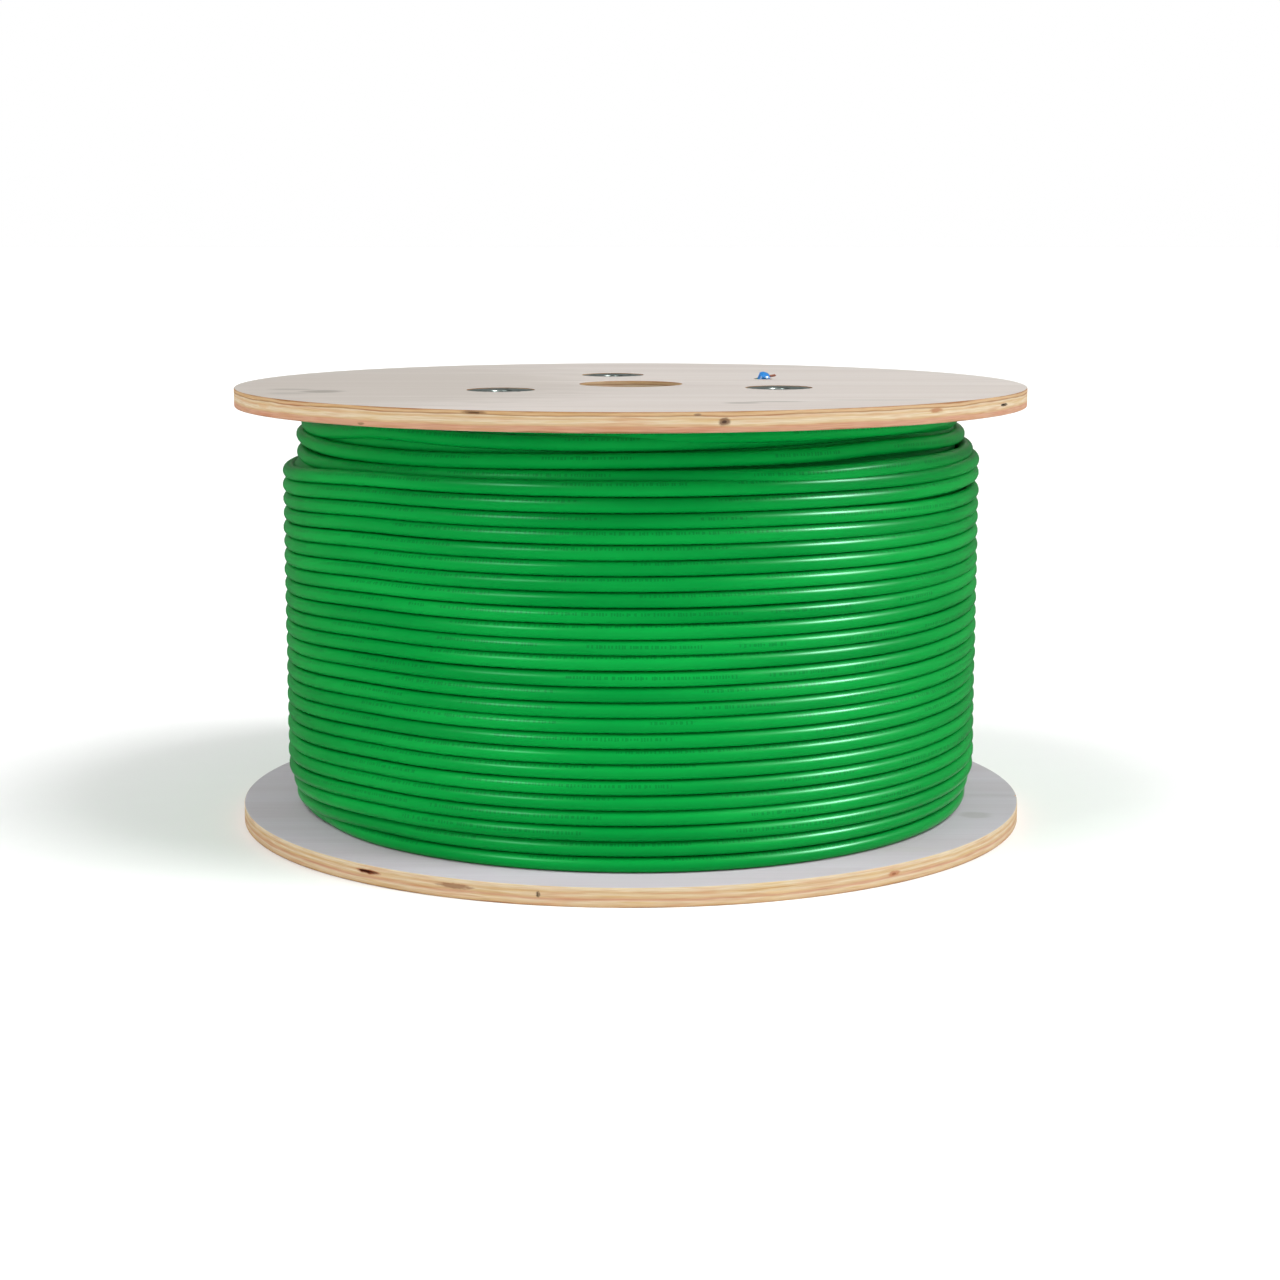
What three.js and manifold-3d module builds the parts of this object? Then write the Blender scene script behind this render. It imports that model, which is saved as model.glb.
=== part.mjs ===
// Plywood cable reel with a full winding of 7 mm network cable.
// Millimetres, +Z up. The origin is the centre of the bottom flange's underside, so the reel stands on z = 0.
import * as THREE from "three";
import { mergeVertices } from "three/addons/utils/BufferGeometryUtils.js";
import Module from "manifold-3d";

const wasm = await Module();
wasm.setup();

// ---- Driving dimensions ----
const reelHeight = 220.6;
const flangeRadius = 200;
const flangeThickness = 9.3;
const flangeEdgeChamfer = 0.5;
const arborRadius = 26;

const drumRadius = 95.5;
const drumWall = 5;

const cableDiameter = 7.117;
const turnGap = 0.02; // between neighbouring turns of one layer
const freeFlange = 22; // least height of flange left above the winding
const missingTurns = 2; // turns that the last layer stops short of the top flange
const grooveDepth = 2.2; // how deep the valley between two turns is cut

const boltCount = 3;
const boltRadius = 4;
const boltInset = 10.5; // from the drum's inner wall to a bolt's axis
const firstBoltAngle = THREE.MathUtils.degToRad(97);
const headRadius = 16.5;
const headThickness = 2;
const headSink = 0.5; // the head stays this far inside the flange's face
const boltEndSink = 1.6; // the bolt's end below the top face

const nutFlangeThickness = 1.6;
const nutFlangeSink = 0.7;
const nutBarrelWall = 1.7;
const nutBarrelEnd = 1; // wood left below the barrel

const exitAngle = THREE.MathUtils.degToRad(31); // where the inner end comes out, around the reel
const exitInset = 9.1; // from the drum's inner wall to the exit's centre
const exitHeading = THREE.MathUtils.degToRad(-46); // the way it runs, in plan
const exitSlope = THREE.MathUtils.degToRad(60); // how steeply it leaves
const endBendRadius = 48;
const jacketSink = 1.5; // the jacket's cut end below the top face, along the cable
const coreRadius = 3.1;
const coreLength = 4.3;
const wireRadius = 0.65;
const wireLength = 3.4;
const wireRise = THREE.MathUtils.degToRad(12); // the wire's end is bent over to +X, with this slope

// ---- Clearances ----
const restGap = 0.3; // between faces that touch
const holeClearance = 0.3; // around bolts and nuts
const exitClearance = 0.9; // around the inner end in its hole

// ---- Facets around each round shape ----
const FLANGE_SIDES = 64;
const DRUM_SIDES = 48;
const WINDING_SIDES = 40;
const DISC_SIDES = 24;
const CABLE_SIDES = 12;
const WIRE_SIDES = 8;

// ---- Worked out from the driving dimensions ----
const topFace = reelHeight;
const topFlangeBase = reelHeight - flangeThickness;
const drumInner = drumRadius - drumWall;
const boltCircle = drumInner - boltInset;
const cableRadius = cableDiameter / 2;
const turnPitch = cableDiameter + turnGap;
const layerStep = cableDiameter * Math.sin(Math.PI / 3);
const windingBase = flangeThickness + restGap;
const windingBore = (drumRadius + restGap) / Math.cos(Math.PI / WINDING_SIDES); // its flats clear the drum
// Each layer's turns lie in the valleys of the one below, half a pitch up or down from it.
const fullTurns = Math.floor((topFlangeBase - restGap - windingBase - cableRadius) / turnPitch);
const lastTurns = fullTurns - missingTurns;
const layers =
  1 + Math.floor((flangeRadius - freeFlange - windingBore - cableDiameter) / layerStep);
const windingRadius = windingBore + cableDiameter + (layers - 1) * layerStep;
const windingTop = windingBase + fullTurns * turnPitch + cableRadius;

// ---- Materials ----
const plywood = { color: 0xd8cfc4, roughness: 0.7, metalness: 0 };
const cardboard = { color: 0xa98b63, roughness: 0.9, metalness: 0 };
const greenJacket = { color: 0x0aa050, roughness: 0.35, metalness: 0 };
const blueCore = { color: 0x1f7fd0, roughness: 0.4, metalness: 0 };
const brownWire = { color: 0x8a4a32, roughness: 0.4, metalness: 0 };
const zinc = { color: 0x9aa29c, roughness: 0.45, metalness: 1 };

// ---- Shape helpers ----
const point = (radius, z) => new THREE.Vector2(radius, z);

// Turns a profile of (radius, z) points about the Z axis. A profile that doesn't start on the axis closes on itself.
function turned(profile, sides) {
  const outline = profile[0].x === 0 ? profile : [...profile, profile[0].clone()];
  return new THREE.LatheGeometry(outline, sides).rotateX(Math.PI / 2);
}

// A plain round rod from z = low to z = high.
function rod(radius, low, high, sides = DISC_SIDES) {
  return turned([point(0, low), point(radius, low), point(radius, high), point(0, high)], sides);
}

// A round tube's solid along a curve.
function swept(curve, radius, steps, sides) {
  const section = new THREE.Shape();
  for (let i = 0; i < sides; i++) {
    const angle = (2 * Math.PI * i) / sides;
    const x = radius * Math.cos(angle);
    const y = radius * Math.sin(angle);
    if (i === 0) section.moveTo(x, y);
    else section.lineTo(x, y);
  }
  return new THREE.ExtrudeGeometry(section, { steps, extrudePath: curve });
}

function solid(geometry) {
  const bare = geometry.index ? geometry.toNonIndexed() : geometry.clone();
  bare.deleteAttribute("normal");
  bare.deleteAttribute("uv");
  const merged = mergeVertices(bare, 1e-3);
  return new wasm.Manifold(
    new wasm.Mesh({
      numProp: 3,
      vertProperties: merged.attributes.position.array,
      triVerts: new Uint32Array(merged.index.array),
    }),
  );
}

function geometryOf(body) {
  const mesh = body.getMesh();
  return new THREE.BufferGeometry()
    .setAttribute("position", new THREE.BufferAttribute(mesh.vertProperties, 3))
    .setIndex(new THREE.BufferAttribute(mesh.triVerts, 1))
    .toNonIndexed();
}

// Cuts a list of tool geometries out of a blank.
function cut(blank, tools) {
  return geometryOf(tools.reduce((body, tool) => body.subtract(solid(tool)), solid(blank)));
}

function piece(name, geometry, material) {
  geometry.computeVertexNormals();
  const mesh = new THREE.Mesh(geometry, new THREE.MeshStandardMaterial(material));
  mesh.name = name;
  return mesh;
}

// ---- Tie bolts ----
const boltPlaces = Array.from({ length: boltCount }, (_, i) => {
  const angle = firstBoltAngle + (2 * Math.PI * i) / boltCount;
  return new THREE.Vector3(boltCircle * Math.cos(angle), boltCircle * Math.sin(angle), 0);
});

const atEachBolt = (make) => boltPlaces.map((place) => make().translate(place.x, place.y, 0));

// ---- The cable's inner end: a level run from the drum's wall, a bend upwards and a straight slope ----
const exit = new THREE.Vector3(
  (drumInner - exitInset) * Math.cos(exitAngle),
  (drumInner - exitInset) * Math.sin(exitAngle),
  topFace,
);
const level = new THREE.Vector3(Math.cos(exitHeading), Math.sin(exitHeading), 0);
const up = new THREE.Vector3(0, 0, 1);
const slope = level.clone().multiplyScalar(Math.cos(exitSlope)).addScaledVector(up, Math.sin(exitSlope));
const bendEnd = exit.clone().addScaledVector(slope, -(flangeThickness + cableRadius) / Math.sin(exitSlope));
const bendStart = bendEnd
  .clone()
  .addScaledVector(level, -endBendRadius * Math.sin(exitSlope))
  .addScaledVector(up, -endBendRadius * (1 - Math.cos(exitSlope)));

// Length of the level run back from the bend to the drum's wall, where the end still clears the winding.
function runToWall() {
  const reach = drumRadius - cableRadius;
  const along = bendStart.x * level.x + bendStart.y * level.y;
  const off = bendStart.x * level.y - bendStart.y * level.x;
  return Math.sqrt(reach * reach - off * off) + along;
}

// The route, from a distance further back than the wall to a distance past the top face.
function innerEndPath(from, to) {
  const levelLength = runToWall();
  const bendSteps = 8;
  const points = [bendStart.clone().addScaledVector(level, -(levelLength + from))];
  points.push(bendStart.clone().addScaledVector(level, -levelLength / 2));
  for (let i = 0; i <= bendSteps; i++) {
    const angle = (exitSlope * i) / bendSteps;
    points.push(
      bendStart
        .clone()
        .addScaledVector(level, endBendRadius * Math.sin(angle))
        .addScaledVector(up, endBendRadius * (1 - Math.cos(angle))),
    );
  }
  points.push(exit.clone().addScaledVector(slope, to));
  return { curve: new THREE.CatmullRomCurve3(points, false, "centripetal"), steps: bendSteps * 2 };
}

// A straight line along a direction, from one distance to another past a start point.
const straight = (start, along, from, to) =>
  new THREE.LineCurve3(start.clone().addScaledVector(along, from), start.clone().addScaledVector(along, to));

function innerEndTool() {
  const path = innerEndPath(2 * cableDiameter, 2 * cableDiameter);
  return swept(path.curve, cableRadius + exitClearance, path.steps, CABLE_SIDES);
}

// ---- Flanges ----
function flangeBlank(base) {
  const c = flangeEdgeChamfer;
  const top = base + flangeThickness;
  return turned(
    [
      point(arborRadius, base),
      point(flangeRadius - c, base),
      point(flangeRadius, base + c),
      point(flangeRadius, top - c),
      point(flangeRadius - c, top),
      point(arborRadius, top),
    ],
    FLANGE_SIDES,
  );
}

function bottomFlange() {
  const recess = headSink + headThickness + restGap;
  const holes = atEachBolt(() => rod(boltRadius + holeClearance, recess / 2, flangeThickness + 1));
  const recesses = atEachBolt(() => rod(headRadius + holeClearance, -1, recess));
  return cut(flangeBlank(0), [...recesses, ...holes]);
}

function topFlange() {
  const recess = nutFlangeSink + nutFlangeThickness + restGap;
  const barrelRadius = boltRadius + holeClearance + nutBarrelWall;
  const holes = atEachBolt(() => rod(barrelRadius + holeClearance, topFlangeBase - 1, topFace - recess / 2));
  const recesses = atEachBolt(() => rod(headRadius + holeClearance, topFace - recess, topFace + 1));
  return cut(flangeBlank(topFlangeBase), [...recesses, ...holes, innerEndTool()]);
}

// ---- Drum ----
function drum() {
  const low = flangeThickness + restGap;
  const high = topFlangeBase - restGap;
  const tube = turned(
    [point(drumInner, low), point(drumRadius, low), point(drumRadius, high), point(drumInner, high)],
    DRUM_SIDES,
  );
  return cut(tube, [innerEndTool()]);
}

// ---- Winding: the turns show as ridges on its outside, and the layers as ridges on its two ends ----
function windingProfile() {
  const profile = [point(windingBore, windingBase + grooveDepth)];
  for (let layer = 0; layer < layers; layer++) {
    const middle = windingBore + cableRadius + layer * layerStep;
    profile.push(point(middle, windingBase));
    if (layer < layers - 1) profile.push(point(middle + layerStep / 2, windingBase + grooveDepth));
  }
  for (let turn = 0; turn < lastTurns; turn++) {
    const middle = windingBase + (turn + 0.5) * turnPitch;
    profile.push(point(windingRadius, middle));
    if (turn < lastTurns - 1) profile.push(point(windingRadius - grooveDepth, middle + turnPitch / 2));
  }
  for (let turn = lastTurns; turn <= fullTurns; turn++) {
    const middle = windingBase + turn * turnPitch;
    profile.push(point(windingRadius - layerStep, middle));
    if (turn < fullTurns) profile.push(point(windingRadius - layerStep - grooveDepth, middle + turnPitch / 2));
  }
  for (let layer = layers - 2; layer >= 0; layer--) {
    const middle = windingBore + cableRadius + layer * layerStep;
    profile.push(point(middle, windingTop));
    if (layer > 0) profile.push(point(middle - layerStep / 2, windingTop - grooveDepth));
  }
  profile.push(point(windingBore, windingTop - grooveDepth));
  return profile;
}

// ---- Tie bolts and tee nuts ----
function tieBolt() {
  const shoulder = headSink + headThickness;
  return turned(
    [
      point(0, headSink),
      point(headRadius - headThickness / 2, headSink),
      point(headRadius, headSink + headThickness / 2),
      point(headRadius, shoulder),
      point(boltRadius, shoulder),
      point(boltRadius, topFace - boltEndSink),
      point(0, topFace - boltEndSink),
    ],
    DISC_SIDES,
  );
}

function teeNut() {
  const bore = boltRadius + holeClearance;
  const face = topFace - nutFlangeSink;
  const seat = face - nutFlangeThickness;
  const barrelLow = topFlangeBase + nutBarrelEnd;
  return turned(
    [
      point(bore, barrelLow),
      point(bore + nutBarrelWall, barrelLow),
      point(bore + nutBarrelWall, seat),
      point(headRadius, seat),
      point(headRadius, face),
      point(bore, face),
    ],
    DISC_SIDES,
  );
}

// ---- Assembly ----
const reel = new THREE.Group();
reel.name = "cable_reel";
reel.add(piece("bottom_flange", bottomFlange(), plywood));
reel.add(piece("top_flange", topFlange(), plywood));
reel.add(piece("drum", drum(), cardboard));
reel.add(piece("cable_winding", turned(windingProfile(), WINDING_SIDES), greenJacket));

const jacketPath = innerEndPath(0, -jacketSink);
reel.add(
  piece("cable_inner_end", swept(jacketPath.curve, cableRadius, jacketPath.steps, CABLE_SIDES), greenJacket),
);
const coreStart = restGap - jacketSink;
const coreLine = straight(exit, slope, coreStart, coreStart + coreLength);
reel.add(piece("inner_end_core", swept(coreLine, coreRadius, 1, CABLE_SIDES), blueCore));
const wireWay = new THREE.Vector3(Math.cos(wireRise), 0, Math.sin(wireRise));
const wireFrom = coreRadius + restGap + wireRadius;
const wireLine = straight(coreLine.getPoint(0.7), wireWay, wireFrom, wireFrom + wireLength);
reel.add(piece("inner_end_wire", swept(wireLine, wireRadius, 1, WIRE_SIDES), brownWire));

boltPlaces.forEach((place, i) => {
  const bolt = piece(`tie_bolt_${i + 1}`, tieBolt(), zinc);
  const nut = piece(`tee_nut_${i + 1}`, teeNut(), zinc);
  bolt.position.copy(place);
  nut.position.copy(place);
  reel.add(bolt, nut);
});

export default reel;
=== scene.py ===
import bisect
import math
import random

import bmesh
import bpy
from bpy.props import FloatProperty, FloatVectorProperty, IntProperty, PointerProperty
from mathutils import Matrix, Vector


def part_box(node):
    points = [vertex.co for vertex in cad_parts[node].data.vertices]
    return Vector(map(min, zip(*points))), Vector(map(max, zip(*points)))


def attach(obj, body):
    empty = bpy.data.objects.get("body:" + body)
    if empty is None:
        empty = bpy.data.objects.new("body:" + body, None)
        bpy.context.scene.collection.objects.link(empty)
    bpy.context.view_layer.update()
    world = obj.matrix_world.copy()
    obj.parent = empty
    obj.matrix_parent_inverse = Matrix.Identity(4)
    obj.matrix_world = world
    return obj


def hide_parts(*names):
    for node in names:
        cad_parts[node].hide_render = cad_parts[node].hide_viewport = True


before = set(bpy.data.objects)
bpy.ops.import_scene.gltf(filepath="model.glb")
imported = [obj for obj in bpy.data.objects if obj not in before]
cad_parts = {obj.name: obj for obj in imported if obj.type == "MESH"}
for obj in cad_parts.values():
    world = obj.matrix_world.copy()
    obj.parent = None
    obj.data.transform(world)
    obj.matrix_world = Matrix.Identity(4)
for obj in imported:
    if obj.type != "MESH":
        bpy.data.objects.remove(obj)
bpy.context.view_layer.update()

bl_info = {
    "name": "Plywood Cable Reel",
    "version": (1, 0, 0),
    "blender": (4, 5, 0),
    "location": "View3D > Sidebar > Reel",
    "description": "Builds the visible pieces of a plywood reel full of green network cable",
    "category": "Object",
}

MM = 0.001
TURN = 2 * math.pi
BOLTS = (1, 2, 3)


def linear(hex_colour):
    """An sRGB hex colour as the linear values that shaders use."""
    values = []
    for start in (1, 3, 5):
        c = int(hex_colour[start:start + 2], 16) / 255
        values.append(c / 12.92 if c <= 0.04045 else ((c + 0.055) / 1.055) ** 2.4)
    return tuple(values)


def rgba(colour):
    return (*colour, 1.0)


def colour_property(name, description, hex_colour):
    return FloatVectorProperty(name=name, description=description, subtype="COLOR", size=3,
                               min=0, max=1, default=linear(hex_colour))


def length_property(name, description, metres):
    return FloatProperty(name=name, description=description, unit="LENGTH", subtype="DISTANCE",
                         min=0, default=metres, precision=5)


def angle_property(name, description, degrees):
    return FloatProperty(name=name, description=description, subtype="ANGLE", default=math.radians(degrees))


def strength_property(name, description, strength):
    return FloatProperty(name=name, description=description, default=strength, min=0)


# ---- What a user may change ----

class ReelSizes(bpy.types.PropertyGroup):
    cable_diameter: length_property("Cable diameter", "Outside of the cable's jacket", 7.117 * MM)
    turn_pitch: length_property("Turn pitch", "From one turn of a layer to the next", 7.137 * MM)
    full_turns: IntProperty(name="Turns in a full layer", description="Turns of the layers under the last",
                            default=27, min=5)
    last_turns: IntProperty(name="Turns in the last layer", description="It stops short of the top flange",
                            default=25, min=1)
    wander: length_property("Wander", "How far a turn strays from its place", 0.24 * MM)
    rim_round: length_property("Rim round", "Rounding of the flanges' cut edges", 0.55 * MM)
    arbor_radius: length_property("Arbor hole radius", "Hole through the middle of each flange", 26 * MM)
    nut_recess_gap: length_property("Recess gap", "Wood cut away around each nut and bolt head", 0.25 * MM)
    exit_hole_radius: length_property("Exit hole radius", "Hole that the inner end comes out of", 4.5 * MM)
    exit_heading: angle_property("Exit heading", "The way the inner end runs, in plan", -46)
    exit_slope: angle_property("Exit slope", "How steeply the inner end leaves", 60)


class ReelColours(bpy.types.PropertyGroup):
    jacket: colour_property("Jacket", "PVC jacket of the cable", "#00973A")
    ply_face: colour_property("Plywood face", "Sanded face veneer", "#CAC3BD")
    # The lower flange's face is the same veneer as the top's; this greyer, cooler copy of its colour is
    # painted shade.
    ply_lower_face_painted_shade: colour_property("Lower flange's face", "Its veneer is greyer and cooler", "#C6BFC8")
    ply_pale: colour_property("Pale plies", "Plies seen along the grain", "#D6C5A7")
    ply_warm: colour_property("Warm plies", "Plies seen on their end grain", "#CAAB82")
    ply_rose: colour_property("Rosy plies", "Inner plies with a pink cast", "#C89C80")
    # The glue lines' colour also paints the shade along the underside of each rim.
    glue_line_and_underside_shade: colour_property("Glue lines", "Between the plies", "#9C7248")
    zinc: colour_property("Zinc", "Plated nuts and bolts", "#737D79")
    core: colour_property("Core wrap", "Blue wrap of the cable's core", "#1C86D8")
    wire: colour_property("Bared wire", "Insulation of the wire beside the core", "#9A5A40")
    board: colour_property("Drum board", "Cardboard of the drum", "#A98B63")


class StudioSettings(bpy.types.PropertyGroup):
    camera_distance: length_property("Camera distance", "From the reel's axis, level", 1.2791)
    camera_height: length_property("Camera height", "Above the floor", 0.2981)
    camera_tilt: angle_property("Camera tilt", "Below level", 9.32)
    camera_pan: angle_property("Camera pan", "To the right", 0.209)
    lens: FloatProperty(name="Lens", description="Focal length", unit="CAMERA", default=70.31, min=1)
    key_light: strength_property("Key light", "Strength of the broad light on the right, front", 1.75)
    fill_light: strength_property("Fill light", "Strength of the broad light on the left, front", 1.15)
    lamp_spread: angle_property("Lamp spread", "How wide each light looks from the reel", 26)
    key_gloss: strength_property("Key gloss", "Strength of the highlight on the right", 15.0)
    fill_gloss: strength_property("Fill gloss", "Strength of the highlight on the left", 3.4)
    gloss_spread: angle_property("Gloss spread", "How wide each highlight's lamp looks", 14)
    mirrored: strength_property("Mirrored studio", "Brightness of the studio in reflections", 0.18)
    horizon: strength_property("Horizon", "Brightness of the white studio at floor level", 1.0)
    overhead: strength_property("Overhead", "Brightness of the studio overhead", 0.42)
    floor: colour_property("Floor", "Pale seamless paper", "#FAFAFA")


# ---- Shapes ----

def object_of(mesh_maker, name):
    """A new object at the origin from a bmesh, which is used up."""
    mesh = bpy.data.meshes.new(name)
    mesh_maker.to_mesh(mesh)
    mesh_maker.free()
    piece = bpy.data.objects.new(name, mesh)
    bpy.context.scene.collection.objects.link(piece)
    return piece


def spun(profile, steps, closed=False):
    """A bmesh turned about Z from (radius, z) points; closed joins the profile's ends."""
    bm = bmesh.new()
    points = [bm.verts.new((radius, 0, z)) for radius, z in profile]
    edges = [bm.edges.new(pair) for pair in zip(points, points[1:])]
    if closed:
        edges.append(bm.edges.new((points[-1], points[0])))
    bmesh.ops.spin(bm, geom=points + edges, cent=(0, 0, 0), axis=(0, 0, 1), angle=TURN, steps=steps,
                   use_merge=True)
    bmesh.ops.remove_doubles(bm, verts=bm.verts, dist=1e-6)
    bmesh.ops.recalc_face_normals(bm, faces=bm.faces)
    return bm


def arc(centre, radius, start, end, count):
    """Points of a round corner of a profile, by angles in degrees."""
    return [(centre[0] + radius * math.cos(math.radians(start + (end - start) * i / (count - 1))),
             centre[1] + radius * math.sin(math.radians(start + (end - start) * i / (count - 1))))
            for i in range(count)]


def smooth(piece, sharp_angle=35):
    """Smooth shading that keeps edges over sharp_angle degrees crisp."""
    bm = bmesh.new()
    bm.from_mesh(piece.data)
    for face in bm.faces:
        face.smooth = True
    for edge in bm.edges:
        edge.smooth = len(edge.link_faces) == 2 and edge.calc_face_angle(0) < math.radians(sharp_angle)
    bm.to_mesh(piece.data)
    bm.free()


def post(radius, low, high, at=(0, 0), sides=48):
    """A bmesh of a round post from z = low to z = high."""
    bm = bmesh.new()
    bmesh.ops.create_cone(bm, cap_ends=True, segments=sides, radius1=radius, radius2=radius, depth=high - low)
    bmesh.ops.translate(bm, verts=bm.verts, vec=(at[0], at[1], (low + high) / 2))
    return bm


def gathered(parts):
    """Several bmeshes as one, which are used up."""
    whole = bmesh.new()
    for part in parts:
        scrap = bpy.data.meshes.new("scrap")
        part.to_mesh(scrap)
        part.free()
        whole.from_mesh(scrap)
        bpy.data.meshes.remove(scrap)
    return whole


def cut_away(piece, tools):
    """Cuts a bmesh of closed shapes out of a piece."""
    cutter = object_of(tools, "cutter")
    bite = piece.modifiers.new("bite", "BOOLEAN")
    bite.operation = "DIFFERENCE"
    bite.solver = "EXACT"
    bite.object = cutter
    whole = piece.evaluated_get(bpy.context.evaluated_depsgraph_get())
    mesh = bpy.data.meshes.new_from_object(whole)
    piece.modifiers.clear()
    old = piece.data
    piece.data = mesh
    bpy.data.meshes.remove(old)
    blank = cutter.data
    bpy.data.objects.remove(cutter)
    bpy.data.meshes.remove(blank)


def ease(x):
    """0 below 0, 1 above 1, and smooth between."""
    x = min(1.0, max(0.0, x))
    return x * x * (3 - 2 * x)


def through(points, x):
    """A smooth curve through points, tuples in order of their first value; gives the others at x."""
    x = min(points[-1][0], max(points[0][0], x))
    i = min(len(points) - 2, max(0, bisect.bisect_right(points, (x,)) - 1))
    before, a, b, after = points[max(0, i - 1)], points[i], points[i + 1], points[min(len(points) - 1, i + 2)]
    gap = b[0] - a[0]
    t = (x - a[0]) / gap
    values = []
    for k in range(1, len(a)):
        leave = (b[k] - before[k]) / (b[0] - before[0]) * gap
        arrive = (after[k] - a[k]) / (after[0] - a[0]) * gap
        values.append((2 * t ** 3 - 3 * t ** 2 + 1) * a[k] + (t ** 3 - 2 * t ** 2 + t) * leave
                      + (3 * t ** 2 - 2 * t ** 3) * b[k] + (t ** 3 - t ** 2) * arrive)
    return values


def hump(angle, middle, width):
    """1 at the middle angle and 0 a width away, in degrees round the reel."""
    away = abs((angle - middle + 180) % 360 - 180)
    return ease(1 - away / width)


def wound(name, diameter, start, end, place, steps_per_turn, sides):
    """A cable along a path round Z from start to end degrees; place(angle) gives the centre's (radius, z).

    It is spun in equal stretches of under a turn, on a wide screw, so that each point tells its own angle,
    and then laid on its path. The layout UV map holds metres along the cable, and how far round the jacket
    from 0 to 1.
    """
    spread = 4 * diameter
    nominal = 20 * diameter
    stretches = math.ceil((end - start) / 359)
    span = math.radians(end - start) / stretches
    steps = math.ceil(span / TURN * steps_per_turn)
    bm = bmesh.new()
    ring = bmesh.ops.create_circle(bm, cap_ends=False, segments=sides, radius=diameter / 2)["verts"]
    bmesh.ops.rotate(bm, verts=ring, cent=(0, 0, 0), matrix=Matrix.Rotation(math.pi / 2, 3, "X"))
    bmesh.ops.translate(bm, verts=ring, vec=(nominal, 0, 0))
    bmesh.ops.spin(bm, geom=bm.verts[:] + bm.edges[:], cent=(0, 0, 0), axis=(0, 0, 1), angle=span,
                   dvec=(0, 0, spread * span / TURN / steps), steps=steps, use_merge=False)
    stretch = bpy.data.meshes.new("stretch")
    bm.to_mesh(stretch)
    bm.clear()
    onward = Matrix.Translation((0, 0, spread * span / TURN)) @ Matrix.Rotation(span, 4, "Z")
    for _ in range(stretches):
        bm.from_mesh(stretch)
        stretch.transform(onward)
    bpy.data.meshes.remove(stretch)
    bmesh.ops.remove_doubles(bm, verts=bm.verts, dist=0.02 * diameter)
    ends = [edge for edge in bm.edges if edge.is_boundary]
    bmesh.ops.holes_fill(bm, edges=ends, sides=sides + 1)
    bmesh.ops.recalc_face_normals(bm, faces=bm.faces)
    around = bm.loops.layers.uv.new("layout")
    spots = {}
    lengths = {}
    for vert in bm.verts:
        bare = math.atan2(vert.co.y, vert.co.x) % TURN
        angle = bare + TURN * round(vert.co.z / spread - bare / TURN)
        out = math.hypot(vert.co.x, vert.co.y) - nominal
        rise = vert.co.z - spread * angle / TURN
        degrees = start + math.degrees(angle)
        if round(degrees, 3) not in lengths:
            lengths[round(degrees, 3)] = place(degrees)
        radius, z = lengths[round(degrees, 3)]
        vert.co = ((radius + out) * math.cos(angle + math.radians(start)),
                   (radius + out) * math.sin(angle + math.radians(start)), z + rise)
        spots[vert] = (angle * nominal, math.atan2(rise, out) / TURN)
    for face in bm.faces:
        face.smooth = len(face.verts) == 4
        whirls = [spots[vert][1] for vert in face.verts]
        seam = max(whirls) - min(whirls) > 0.5
        for loop, whirl in zip(face.loops, whirls):
            loop[around].uv = (spots[loop.vert][0], whirl + 1 if seam and whirl < 0 else whirl)
    return object_of(bm, name)


# ---- Materials ----

def node(tree, kind, inputs=None, stops=None, **settings):
    """Adds a node with its settings, its colour stops, and its inputs as values or links."""
    made = tree.nodes.new(kind)
    for key, value in settings.items():
        setattr(made, key, value)
    if stops:
        elements = made.color_ramp.elements
        while len(elements) < len(stops):
            elements.new(1.0)
        for element, (position, colour) in zip(elements, stops):
            element.position = position
            element.color = colour
    for key, value in (inputs or {}).items():
        if isinstance(value, bpy.types.NodeSocket):
            tree.links.new(value, made.inputs[key])
        else:
            made.inputs[key].default_value = value
    return made


def new_material(name):
    """An empty material and the tree to add to."""
    material = bpy.data.materials.new(name)
    material.use_nodes = True
    material.node_tree.nodes.clear()
    return material, material.node_tree


def surface(tree, **inputs):
    """Ends a tree in a Principled shader with these inputs."""
    shader = node(tree, "ShaderNodeBsdfPrincipled", {k.replace("_", " "): v for k, v in inputs.items()})
    node(tree, "ShaderNodeOutputMaterial", {"Surface": shader.outputs[0]})


def object_place(tree):
    return node(tree, "ShaderNodeTexCoord").outputs["Object"]


def layout_of(tree):
    return node(tree, "ShaderNodeUVMap", uv_map="layout").outputs[0]


def stretched(tree, place, *sizes):
    """A place measured in these sizes along X, Y and Z, so that a noise on it has grain of those sizes."""
    scale = tuple(1 / size for size in sizes)
    return node(tree, "ShaderNodeMapping", {"Vector": place, "Scale": scale}).outputs[0]


def noise(tree, place, size, detail, output=0, **inputs):
    """Noise with grain of about this size in space."""
    return node(tree, "ShaderNodeTexNoise",
                {"Vector": place, "Scale": 1 / size, "Detail": detail, **inputs}).outputs[output]


def noise_along(tree, length, size, detail):
    """Noise with grain of about this size along a length."""
    return node(tree, "ShaderNodeTexNoise", {"W": length, "Scale": 1 / size, "Detail": detail},
                noise_dimensions="1D").outputs[0]


def maths(tree, operation, *values):
    return node(tree, "ShaderNodeMath", dict(enumerate(values)), operation=operation).outputs[0]


def shift(tree, operation, first, second):
    return node(tree, "ShaderNodeVectorMath", {0: first, 1: second}, operation=operation).outputs[0]


def ranged(tree, value, low, high, to_low=0.0, to_high=1.0, **settings):
    """A value taken from one range to another."""
    return node(tree, "ShaderNodeMapRange", {"Value": value, "From Min": low, "From Max": high,
                                             "To Min": to_low, "To Max": to_high}, **settings).outputs[0]


def ramp(tree, value, *stops):
    return node(tree, "ShaderNodeValToRGB", {0: value}, stops=stops).outputs[0]


def mixed(tree, share, colour, other, blend="MIX"):
    return node(tree, "ShaderNodeMix", {0: share, 6: colour, 7: other},
                data_type="RGBA", blend_type=blend).outputs[2]


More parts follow.
